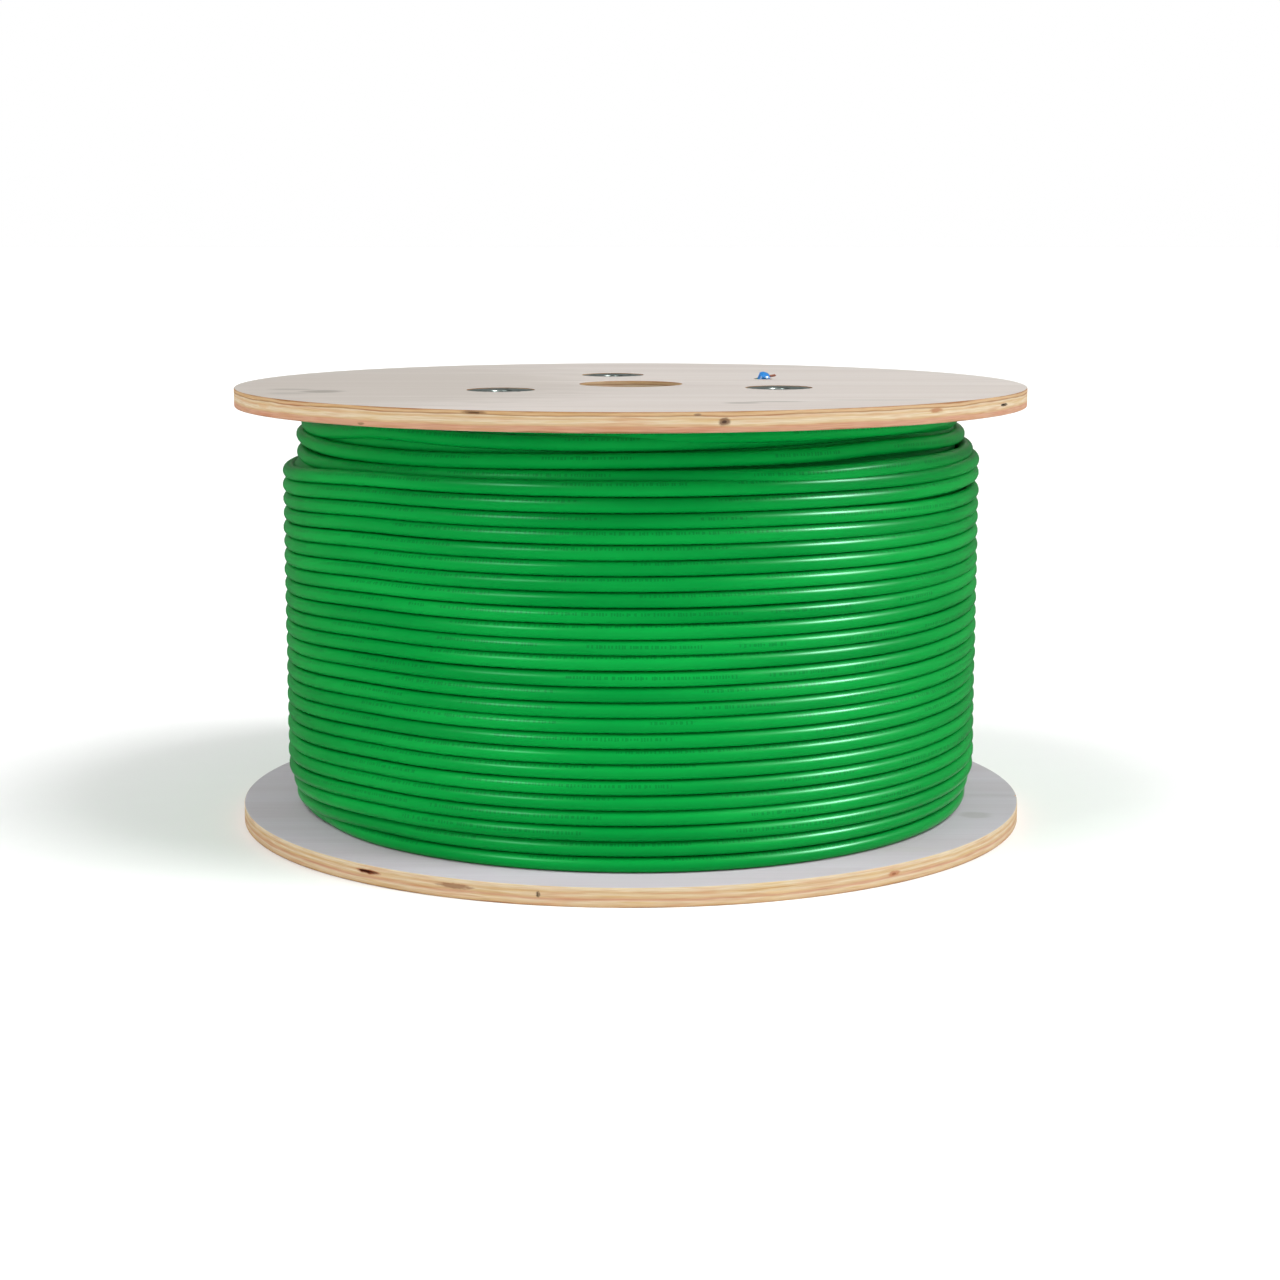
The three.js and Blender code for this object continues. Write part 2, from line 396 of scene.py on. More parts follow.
def bumped(tree, height, strength, depth):
    return node(tree, "ShaderNodeBump",
                {"Strength": strength, "Distance": depth, "Height": height}).outputs[0]


def shaded(colour, share):
    """A colour made darker or lighter."""
    return rgba(tuple(min(1, c * share) for c in colour))


def raggedness(tree, place, sizes, detail):
    """An offset about zero that frays the outlines of the marks: stains, and painted shade and shadow."""
    colour = noise(tree, stretched(tree, place, *sizes), 1.0, detail, "Color")
    return shift(tree, "ADD", colour, (-0.5, -0.5, -0.5))


def marks_on(tree, colour, layout, ragged, marks):
    """Paints ragged ovals over a colour: stains, and patches of painted shade and shadow.

    Each mark is (u, v, half length, half height, colour, strength).
    """
    for u, v, long, high, blotch, strength in marks:
        away = shift(tree, "SUBTRACT", layout, (u, v, 0))
        frayed = shift(tree, "ADD", shift(tree, "MULTIPLY", away, (1 / long, 1 / high, 0)), ragged)
        reach = node(tree, "ShaderNodeVectorMath", {0: frayed}, operation="LENGTH").outputs["Value"]
        mask = ranged(tree, reach, 1.1, 0.5, 0.0, strength, interpolation_type="SMOOTHSTEP")
        colour = mixed(tree, mask, colour, rgba(linear(blotch)))
    return colour


def jacket_material(colours):
    """Extruded PVC cable jacket: satin, a little waxy, with a faint row of ink ticks on one side."""
    material, tree = new_material("pvc_jacket_green")
    split = node(tree, "ShaderNodeSeparateXYZ", {0: layout_of(tree)})
    along, whirl = split.outputs[0], split.outputs[1]
    place = object_place(tree)
    # The pairs inside are laid up every 120 mm or so, which gives the jacket slow swells; their light and
    # shade are painted into its colour, lighter and darker along the cable.
    painted_swell_shading = noise_along(tree, along, 120 * MM, 1.0)
    lighter = tuple(min(1, c * 1.1 + 0.002) for c in colours.jacket)
    shade = ramp(tree, painted_swell_shading, (0.3, shaded(colours.jacket, 0.86)), (0.7, rgba(lighter)))
    # Ink ticks 1 to 2 mm high and about 1.2 mm apart, in runs of about 60 mm, on a line that wanders
    # round the jacket.
    line = ranged(tree, noise_along(tree, along, 0.9, 0.0), 0.2, 0.8, -0.02, 0.2)
    off_line = maths(tree, "ABSOLUTE", maths(tree, "SUBTRACT", whirl, line))
    cells = node(tree, "ShaderNodeTexVoronoi", {"W": along, "Scale": 1 / 0.0012}, voronoi_dimensions="1D")
    in_tick = maths(tree, "LESS_THAN", cells.outputs["Distance"], 0.27)
    half_height = ranged(tree, cells.outputs["Color"], 0.0, 1.0, 0.022, 0.046)
    in_band = maths(tree, "LESS_THAN", off_line, half_height)
    in_run = maths(tree, "GREATER_THAN", noise_along(tree, along, 60 * MM, 1.0), 0.47)
    ink = maths(tree, "MULTIPLY", maths(tree, "MULTIPLY", in_tick, in_band), in_run)
    inked = mixed(tree, maths(tree, "MULTIPLY", ink, 0.38), shade, rgba(linear("#055022")))
    # Handling haze, in patches of about 30 mm.
    roughness = ranged(tree, noise(tree, place, 30 * MM, 2.0), 0.3, 0.7, 0.28, 0.36)
    # Die lines and grit of the extruded surface, about 0.8 mm.
    bump = bumped(tree, noise(tree, place, 0.8 * MM, 2.0), 0.12, 0.05 * MM)
    surface(tree, Base_Color=inked, Roughness=roughness, Normal=bump, IOR=1.53, Specular_IOR_Level=0.1,
            Specular_Tint=(0.4, 1.0, 0.72, 1.0))
    return material


def ply_face_material(name, base, grain_depth, marks):
    """Sanded birch-like face veneer: pale, matt, with fine straight grain along X, handling marks, and broad
    painted shade laid on as a mark.
    """
    material, tree = new_material(name)
    place = object_place(tree)
    # Grain about 0.9 mm wide and 150 mm long.
    grain = noise(tree, stretched(tree, place, 0.15, 0.0009, 0.0009), 1.0, 3.0)
    fine = ramp(tree, grain, (0.35, shaded(base, 1 - grain_depth)), (0.62, shaded(base, 1 + grain_depth / 2)))
    # Broad flames of the peeled veneer, about 25 mm wide and 400 mm long.
    flame = noise(tree, stretched(tree, place, 0.4, 0.025, 0.025), 1.0, 2.0, Distortion=0.6)
    warm = ramp(tree, flame, (0.35, (0.93, 0.91, 0.9, 1)), (0.65, (1, 1, 1, 1)))
    wood = mixed(tree, 1.0, fine, warm, "MULTIPLY")
    ragged = raggedness(tree, place, (0.03, 0.006, 1), 4.0)
    marked = marks_on(tree, wood, place, ragged, marks)
    surface(tree, Base_Color=marked, Roughness=0.68, Normal=bumped(tree, grain, 0.25, 0.08 * MM), IOR=1.45,
            Specular_IOR_Level=0.15)
    return material


def ply_edge_material(name, colours, plies, low, high, marks):
    """The cut edge of plywood: plies that waver and blend, thin glue lines, pores, a few knots; the glue
    colour at the underside is painted shade.

    Each ply is a level from 0 at the underside to 1 at the top, and the name of its colour.
    """
    material, tree = new_material(name)
    layout = layout_of(tree)
    place = object_place(tree)
    # The plies waver by up to a millimetre over lengths of about 35 mm.
    waver = noise(tree, stretched(tree, place, 0.035, 0.035, 0.008), 1.0, 4.0)
    height = node(tree, "ShaderNodeSeparateXYZ", {0: place}).outputs[2]
    level = maths(tree, "MULTIPLY_ADD", waver, 0.24, ranged(tree, height, low, high))
    level = maths(tree, "SUBTRACT", level, 0.12)
    banded = ramp(tree, level, *((at, rgba(getattr(colours, tone))) for at, tone in plies))
    # Fibres and pores, 0.4 mm high and about 12 mm long round the rim.
    fibre = noise(tree, stretched(tree, layout, 0.012, 0.0004, 1), 1.0, 3.0)
    wood = mixed(tree, 0.8, banded, ramp(tree, fibre, (0.3, (0.82, 0.76, 0.7, 1)), (0.6, (1, 1, 1, 1))),
                 "MULTIPLY")
    # Pinkish and straw patches where the saw met the veneers at a slant, 30 mm long and 1.5 mm high.
    patch = noise(tree, stretched(tree, layout, 0.03, 0.0015, 1), 1.0, 2.0)
    patch_tone = ramp(tree, patch, (0.3, rgba(linear("#F2D3C4"))), (0.5, (1, 1, 1, 1)),
                      (0.72, rgba(linear("#F3E2C0"))))
    wood = mixed(tree, 0.75, wood, patch_tone, "MULTIPLY")
    marked = marks_on(tree, wood, layout, raggedness(tree, layout, (0.004, 0.0015, 1), 3.0), marks)
    surface(tree, Base_Color=marked, Roughness=0.75, Normal=bumped(tree, fibre, 0.4, 0.15 * MM), IOR=1.45,
            Specular_IOR_Level=0.15)
    return material


def zinc_material(colours):
    """Electroplated zinc on pressed steel: grey with a green cast, dull, with handling scuffs."""
    material, tree = new_material("zinc_plate")
    # Spangle and stains, about 3 mm across.
    blotch = noise(tree, object_place(tree), 3 * MM, 4.0)
    tone = ramp(tree, blotch, (0.35, shaded(colours.zinc, 0.6)), (0.6, rgba(colours.zinc)))
    surface(tree, Base_Color=tone, Metallic=1.0, Roughness=ranged(tree, blotch, 0.3, 0.7, 0.55, 0.32),
            Normal=bumped(tree, blotch, 0.2, 0.05 * MM))
    return material


def board_material(colours):
    """Spiral-wound drum board: brown, matt, with a seam every 90 mm up the tube."""
    material, tree = new_material("drum_board")
    place = object_place(tree)
    fibres = noise(tree, place, 4 * MM, 5.0)
    tone = ramp(tree, fibres, (0.3, shaded(colours.board, 0.7)), (0.7, rgba(colours.board)))
    parts = node(tree, "ShaderNodeSeparateXYZ", {0: place})
    turn = maths(tree, "MULTIPLY", maths(tree, "ARCTAN2", parts.outputs[1], parts.outputs[0]), 1 / TURN)
    climb = maths(tree, "MULTIPLY_ADD", parts.outputs[2], 1 / 0.09, turn)
    seam = ramp(tree, maths(tree, "FRACT", climb), (0.0, (0.45, 0.45, 0.45, 1)), (0.02, (1, 1, 1, 1)))
    surface(tree, Base_Color=mixed(tree, 1.0, tone, seam, "MULTIPLY"), Roughness=0.88,
            Normal=bumped(tree, fibres, 0.3, 0.1 * MM), IOR=1.45)
    return material


def wrap_material(name, colour, roughness):
    """Thin smooth plastic, wrapped or extruded: even colour, a clear soft shine, faint creases with painted
    shade in their hollows.
    """
    material, tree = new_material(name)
    # Creases about 0.7 mm apart; the colour is darker in their hollows, as painted shade.
    crease = noise(tree, object_place(tree), 0.7 * MM, 2.0)
    tone = ramp(tree, crease, (0.3, shaded(colour, 0.75)), (0.65, rgba(colour)))
    surface(tree, Base_Color=tone, Roughness=roughness, Normal=bumped(tree, crease, 0.5, 0.1 * MM), IOR=1.5)
    return material


def paper_material(colour):
    """Seamless background paper: pale and matt, with a faint mottle about 40 mm across."""
    material, tree = new_material("background_paper")
    mottle = noise(tree, object_place(tree), 40 * MM, 2.0)
    tone = ramp(tree, mottle, (0.3, shaded(colour, 0.985)), (0.7, rgba(colour)))
    surface(tree, Base_Color=tone, Roughness=0.95)
    return material


# ---- Flanges ----

# Each ply is its level in the board, from 0 at the underside to 1 at the top, and the name of its colour.
# The glue colour at level 0, along the underside of each rim, is painted shade.
TOP_PLIES = ((0.0, "glue_line_and_underside_shade"), (0.06, "ply_rose"), (0.26, "ply_rose"), (0.34, "ply_warm"),
             (0.44, "ply_pale"), (0.56, "ply_pale"), (0.64, "ply_warm"), (0.74, "ply_pale"),
             (0.8, "glue_line_and_underside_shade"),
             (0.84, "ply_warm"), (0.92, "ply_warm"), (0.98, "glue_line_and_underside_shade"))
BOTTOM_PLIES = ((0.0, "glue_line_and_underside_shade"), (0.07, "ply_warm"), (0.28, "ply_pale"), (0.38, "ply_rose"),
                (0.48, "ply_warm"), (0.6, "ply_pale"), (0.74, "ply_warm"), (0.86, "ply_pale"),
                (1.0, "ply_pale"))


def flange_blank(radius, bore, low, high, edge):
    """A disc with a bore and rounded edges."""
    corner = 4
    profile = (arc((radius - edge, low + edge), edge, -90, 0, corner)
               + arc((radius - edge, high - edge), edge, 0, 90, corner)
               + arc((bore + edge, high - edge), edge, 90, 180, corner)
               + arc((bore + edge, low + edge), edge, 180, 270, corner))
    return spun(profile, 192, closed=True)


def rim_bite(radius, angle, z, size):
    """A rounded lump at a rim, for a void or a chip; size is (along, deep, high) from its middle."""
    bm = bmesh.new()
    bmesh.ops.create_icosphere(bm, subdivisions=2, radius=1)
    rng = random.Random(round(angle * 10))
    for vert in bm.verts:
        vert.co *= rng.uniform(0.82, 1.1)
    bmesh.ops.scale(bm, verts=bm.verts, vec=(size[1], size[0], size[2]))
    bmesh.ops.translate(bm, verts=bm.verts, vec=(radius, 0, z))
    bmesh.ops.rotate(bm, verts=bm.verts, cent=(0, 0, 0), matrix=Matrix.Rotation(math.radians(angle), 3, "Z"))
    return bm


def lay_out(piece):
    """Gives the cut edges the second material, and every face a layout UV map in metres."""
    bm = bmesh.new()
    bm.from_mesh(piece.data)
    layer = bm.loops.layers.uv.new("layout")
    low = min(vert.co.z for vert in bm.verts) + 0.1 * MM
    high = max(vert.co.z for vert in bm.verts) - 0.1 * MM
    for face in bm.faces:
        middle = face.calc_center_median()
        flat = abs(face.normal.z) > 0.8 and not low < middle.z < high
        face.material_index = 0 if flat else 1
        centre_angle = math.atan2(middle.y, middle.x)
        for loop in face.loops:
            spot = loop.vert.co
            if flat:
                loop[layer].uv = (spot.x, spot.y)
                continue
            angle = math.atan2(spot.y, spot.x)
            step = (angle - centre_angle + math.pi) % TURN - math.pi
            loop[layer].uv = ((centre_angle + step) * math.hypot(spot.x, spot.y), spot.z)
    bm.to_mesh(piece.data)
    bm.free()


def rim_mark(radius, base, angle, up, long, high, colour, strength):
    """A mark on a rim, for stains and for the painted shadow inside voids, at an angle in degrees; its height
    above the underside and half sizes are in mm.
    """
    return (math.radians(angle) * radius, base + up * MM, long * MM, high * MM, colour, strength)


class REEL_OT_flanges(bpy.types.Operator):
    """Build both plywood flanges with their holes, recesses, voids and knots"""
    bl_idname = "reel.flanges"
    bl_label = "Flanges"

    def execute(self, context):
        sizes, colours = context.scene.reel_sizes, context.scene.reel_colours
        self.top(sizes, colours)
        self.bottom(sizes, colours)
        return {"FINISHED"}

    def finish_piece(self, piece, node_name, face, edge):
        piece.data.materials.clear()
        piece.data.materials.append(face)
        piece.data.materials.append(edge)
        lay_out(piece)
        smooth(piece)
        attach(piece, "root")
        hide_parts(node_name)

    def top(self, sizes, colours):
        low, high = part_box("top_flange")
        radius = high.x
        nut_low, nut_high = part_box("tee_nut_1")
        nut_radius = (nut_high.x - nut_low.x) / 2
        seat = high.z - 2.5 * MM  # where the nut's plate lies
        tools = []
        for i in BOLTS:
            a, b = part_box(f"tee_nut_{i}")
            at = ((a.x + b.x) / 2, (a.y + b.y) / 2)
            tools.append(post(nut_radius + sizes.nut_recess_gap, seat, high.z + 5 * MM, at, 64))
            tools.append(post(nut_radius * 0.4, low.z - 5 * MM, seat + 0.5 * MM, at))
        core_low, core_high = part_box("inner_end_core")
        slope = leaving_way(sizes)
        hole = post(sizes.exit_hole_radius, -30 * MM, 12 * MM)
        turn = Vector((0, 0, 1)).rotation_difference(slope).to_matrix()
        bmesh.ops.rotate(hole, verts=hole.verts, cent=(0, 0, 0), matrix=turn)
        bmesh.ops.translate(hole, verts=hole.verts, vec=(core_low + core_high) / 2)
        tools.append(hole)
        tools.append(rim_bite(radius, -27.8, low.z + 5.0 * MM, (4.5 * MM, 1.6 * MM, 0.6 * MM)))
        tools.append(rim_bite(radius, -110, high.z - 1.1 * MM, (3.0 * MM, 0.8 * MM, 0.4 * MM)))
        piece = object_of(flange_blank(radius, sizes.arbor_radius, low.z, high.z, sizes.rim_round),
                          "top_flange_board")
        cut_away(piece, gathered(tools))
        # The first face mark, a broad grey oval over the left half of the top face, is painted shade: it
        # darkens that side.
        face_marks = [(-0.13, 0.0, 0.13, 0.22, "#ABA49B", 0.5),
                      (-0.15, -0.062, 0.013, 0.012, "#827E76", 0.6),
                      (-0.168, -0.045, 0.012, 0.007, "#8A867E", 0.45),
                      (-0.165, -0.075, 0.012, 0.009, "#97938B", 0.4),
                      (0.049, -0.143, 0.011, 0.006, "#86827A", 0.6),
                      (0.067, -0.135, 0.014, 0.004, "#8E8A82", 0.55),
                      (0.118, -0.124, 0.03, 0.0035, "#8E8A82", 0.5)]
        # The near-black mark at -27.8 degrees is painted shadow inside the void cut there; the brown one at
        # -110 degrees darkens the chip cut there.
        edge_marks = [rim_mark(radius, low.z, *mark) for mark in (
            (-78.3, 4.7, 3.0, 2.0, "#6B4A33", 0.85), (-78.3, 4.7, 1.3, 0.8, "#3E2A1E", 0.9),
            (-81.7, 8.0, 2.0, 0.7, "#6E5340", 0.7), (-110, 8.3, 6.5, 0.9, "#7A5A40", 0.8),
            (-46.2, 6.0, 5.5, 1.2, "#A9714A", 0.8), (-27.8, 5.0, 5.4, 0.9, "#2E2018", 0.95),
            (-127.2, 1.2, 2.4, 0.7, "#8A6A4C", 0.8), (-150, 5.2, 8.0, 1.4, "#C79A6B", 0.5))]
        face = ply_face_material("birch_ply_face_top", colours.ply_face, 0.08, face_marks)
        edge = ply_edge_material("birch_ply_edge_top", colours, TOP_PLIES, low.z, high.z, edge_marks)
        self.finish_piece(piece, "top_flange", face, edge)

    def bottom(self, sizes, colours):
        low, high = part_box("bottom_flange")
        radius = high.x
        head_low, head_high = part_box("tie_bolt_1")
        head_radius = (head_high.x - head_low.x) / 2
        seat = 2.8 * MM  # where the bolt's head lies
        tools = []
        for i in BOLTS:
            a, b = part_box(f"tie_bolt_{i}")
            at = ((a.x + b.x) / 2, (a.y + b.y) / 2)
            tools.append(post(head_radius + sizes.nut_recess_gap, -5 * MM, seat, at, 64))
            tools.append(post(head_radius * 0.27, seat - 0.5 * MM, high.z + 5 * MM, at))
        tools.append(rim_bite(radius, -127.3, 6.2 * MM, (6.6 * MM, 2.2 * MM, 0.75 * MM)))
        tools.append(rim_bite(radius, -102, 5.2 * MM, (0.5 * MM, 1.0 * MM, 1.2 * MM)))
        tools.append(rim_bite(radius + 1.2 * MM, -5, high.z - 0.6 * MM, (3.4 * MM, 2.4 * MM, 2.6 * MM)))
        piece = object_of(flange_blank(radius, sizes.arbor_radius, low.z, high.z, sizes.rim_round),
                          "bottom_flange_board")
        cut_away(piece, gathered(tools))
        face_marks = [(0.172, -0.060, 0.009, 0.008, "#8E8A84", 0.3),
                      (0.13, -0.13, 0.02, 0.006, "#B9B4B4", 0.35)]
        # The dark inner mark at -127.3 degrees, set in a sienna ring, and the dark mark at -102 degrees are
        # painted shadow inside the voids cut there.
        edge_marks = [rim_mark(radius, low.z, *mark) for mark in (
            (-127.3, 6.2, 8.2, 1.4, "#A0522D", 0.9), (-127.3, 6.1, 6.0, 0.8, "#5A2A1A", 0.95),
            (-113.5, 5.8, 10.5, 1.5, "#8E6648", 0.85), (-102, 5.2, 1.2, 1.6, "#4A382C", 0.8),
            (-52.7, 5.2, 4.5, 1.3, "#B0714A", 0.8), (-52.7, 5.0, 1.6, 0.6, "#8A5234", 0.8),
            (-70, 4.4, 12.0, 1.0, "#D7B98C", 0.5), (-5, 7.2, 5.0, 2.6, "#C49A86", 0.7))]
        # The lower face takes the greyer, cooler copy of the veneer's colour: painted shade.
        face = ply_face_material("birch_ply_face_bottom", colours.ply_lower_face_painted_shade, 0.04, face_marks)
        edge = ply_edge_material("birch_ply_edge_bottom", colours, BOTTOM_PLIES, low.z, high.z, edge_marks)
        self.finish_piece(piece, "bottom_flange", face, edge)


# ---- Winding ----

# How far each turn of the last layer, counted from its top, sags on the right, in pitches.
SAGS = {1: 0.2, 2: 0.15, 3: 0.4, 4: 0.34, 5: 0.27, 6: 0.26, 7: 0.26, 8: 0.2, 9: 0.05}
# How far the lowest turns draw in on both sides.
FOOT_DRAW = 4.0 * MM
# The cable's last turns slump into the layer below. Each point is an angle from the front pass of the last
# layer's top turn, a level in pitches above the winding's foot, for SLUMP_TURNS turns, and how far it is
# sunk, in mm.
SLUMP_TURNS = 25
SLUMP = (
    (-8, 24.55, 0.4), (60, 24.75, 1.5), (120, 24.95, 5.0),
    (183, 25.05, 7.8), (210, 24.9, 6.0), (240, 25.0, 5.2), (270, 25.14, 5.0), (297, 25.15, 0.0),
    (314, 25.28, -0.7), (345, 25.2, 3.2), (420, 25.6, 4.0), (480, 25.95, 7.0),
    (543, 26.3, 7.6), (570, 26.0, 6.8), (593, 25.93, 6.0), (609, 26.04, 5.7), (630, 26.19, 5.4),
    (659, 26.27, 5.3), (675, 26.45, 5.8), (705, 26.26, 7.6), (780, 26.6, 7.9), (840, 26.8, 8.6),
    (903, 27.1, 10.2), (925, 27.0, 9.3), (936, 27.22, 9.0), (945, 27.5, 8.2), (965, 27.28, 7.6),
    (990, 27.24, 7.5), (1019, 27.35, 11.0), (1037, 27.5, 12.0), (1065, 27.33, 11.3),
    (1140, 27.5, 12.0), (1200, 27.65, 13.0),
    (1263, 27.7, 13.5), (1335, 27.7, 12.0), (1362, 27.7, 7.0), (1395, 27.7, 6.0), (1420, 27.7, 8.5),
    (1450, 27.7, 12.0), (1520, 27.7, 20.0),
)


class Winding:
    """Where the turns lie, from the CAD winding's box and the sizes."""

    def __init__(self, sizes):
        low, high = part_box("cable_winding")
        self.base = low.z
        self.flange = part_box("bottom_flange")[1].z
        self.outer = high.x
        self.diameter = sizes.cable_diameter
        self.radius = sizes.cable_diameter / 2
        self.pitch = sizes.turn_pitch
        self.step = sizes.cable_diameter * math.sin(math.pi / 3)
        self.last_turns = sizes.last_turns
        self.full_turns = sizes.full_turns
        self.wander = sizes.wander
        self.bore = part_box("drum")[1].x + 0.3 * MM
        self.layers = 1 + round((self.outer - self.bore - self.diameter) / self.step)
        self.rng = random.Random(7)
        self.strays = [[(self.rng.uniform(0, 360), self.rng.uniform(0.5, 1.0)) for _ in range(4)]
                       for _ in range(self.full_turns + 8)]

    def stray(self, turn, angle):
        """How far a turn strays out and up at an angle, from -1 to 1 each, blending from turn to turn."""
        whole = math.floor(turn)
        share = ease((turn - whole - 0.8) / 0.2)
        values = []
        for first, second in ((0, 1), (2, 3)):
            value = 0
            for index, weight in ((whole, 1 - share), (whole + 1, share)):
                waves = self.strays[index % len(self.strays)]
                for share_of, wave, speed in ((0.6, waves[first], 1), (0.4, waves[second], 2)):
                    value += weight * share_of * wave[1] * math.sin(math.radians(speed * angle + wave[0]))
            values.append(value)
        return values

    def last_layer(self, angle):
        """The last layer climbs a fifth of a pitch on the right and the rest on the left, else is level."""
        front = -130  # where each turn is counted from, in degrees
        turn, local = divmod(angle - front, 360)
        climb = 0.2 * ease((local - 80) / 45) + 0.8 * ease((local - 315) / 45)
        level = 0.5 + max(0, turn + climb)
        sunk = self.step * (1 - ease((angle - front + 45) / 45))
        from_top = self.last_turns - turn
        level -= SAGS.get(from_top, 0) * hump(angle, -8, 62)
        past = angle - 360 * (self.last_turns - 1)
        slump = ease((past - SLUMP[0][0]) / (SLUMP[1][0] - SLUMP[0][0]))
        if slump > 0:
            slumped, depth = through(SLUMP, past)
            level += slump * (slumped + self.last_turns - SLUMP_TURNS - level)
            sunk += slump * (depth * MM - sunk)
        out, up = self.stray((angle - front) / 360 + 0.5, angle)
        calm = ease((angle - front) / 90) * (1 - 0.6 * slump)
        height = self.base + self.pitch * level + calm * up * self.wander
        height -= (self.base - self.flange) * (1 - ease((angle - front) / 720))
        height = max(height, self.flange + self.radius)
        # The lowest turns draw in on both sides, into the corner between the flange and the layer below.
        drawn_in = max(hump(angle, 0, 75), hump(angle, 195, 95)) * ease((3.0 - level) / 2.2)
        sunk += FOOT_DRAW * drawn_in
        radius = self.outer - self.radius - sunk + (out - 1) * self.wander * (1 - slump)
        return radius, height

    def deep_turn(self, angle):
        """A turn from lower down, which shows in the gap on the left between two slumped turns."""
        depths = ((-215, 17.0), (-170, 13.5), (-140, 11.3), (-120, 10.9), (-100, 12.0), (-60, 18.0))
        sunk, = through(depths, angle)
        return self.outer - self.radius - sunk * MM, self.base + self.pitch * (self.full_turns - 0.25)


def inner_layers(winding):
    """The layers under the last, one turned body: turns are ridges on its outside, layers on its ends."""
    bulge = 50  # how far round its turn each ridge reaches, in degrees either way
    profile = []
    top = winding.base + winding.pitch * winding.full_turns + winding.radius

    def turn_ridge(radius, z):
        profile.extend(arc((radius - winding.radius, z), winding.radius, -bulge, bulge, 4))

    def layer_ridge(radius, z, side):
        middle = 90 * side
        profile.extend(arc((radius, z - side * winding.radius), winding.radius,
                           middle - bulge, middle + bulge, 3))

    layers = [winding.bore + winding.radius + i * winding.step for i in range(winding.layers - 1)]
    for radius in layers:
        layer_ridge(radius, winding.base, -1)
    under = winding.outer - winding.step
    for turn in range(1, winding.last_turns):
        turn_ridge(under, winding.base + winding.pitch * turn)
    for turn in range(winding.last_turns, winding.full_turns):
        turn_ridge(under - winding.step, winding.base + winding.pitch * (turn + 0.5))
    for radius in reversed(layers[:-1]):
        layer_ridge(radius, top, 1)
    profile.append((winding.bore, top - winding.radius))
    profile.append((winding.bore, winding.base + winding.radius))
    return spun(profile, 120, closed=True)


class REEL_OT_winding(bpy.types.Operator):
    """Wind the cable: the last layer, the bare turns at the top, and the layers under them"""
    bl_idname = "reel.winding"
    bl_label = "Winding"

    def execute(self, context):
        sizes, colours = context.scene.reel_sizes, context.scene.reel_colours
        winding = Winding(sizes)
        jacket = jacket_material(colours)
        pieces = [
            wound("cable_last_layer", winding.diameter, -175, SLUMP[-1][0] + 360 * (winding.last_turns - 1),
                  winding.last_layer, 168, 18),
            wound("cable_deep_turn", winding.diameter, -215, -60, winding.deep_turn, 150, 18),
        ]
        under = object_of(inner_layers(winding), "cable_inner_layers")
        smooth(under, 60)
        pieces.append(under)
        for piece in pieces:
            piece.data.materials.clear()
            piece.data.materials.append(jacket)
            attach(piece, "root")
            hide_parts("cable_winding")
        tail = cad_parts["cable_inner_end"]
        tail.data.materials.clear()
        tail.data.materials.append(jacket)
        return {"FINISHED"}


# ---- Nuts and bolts ----

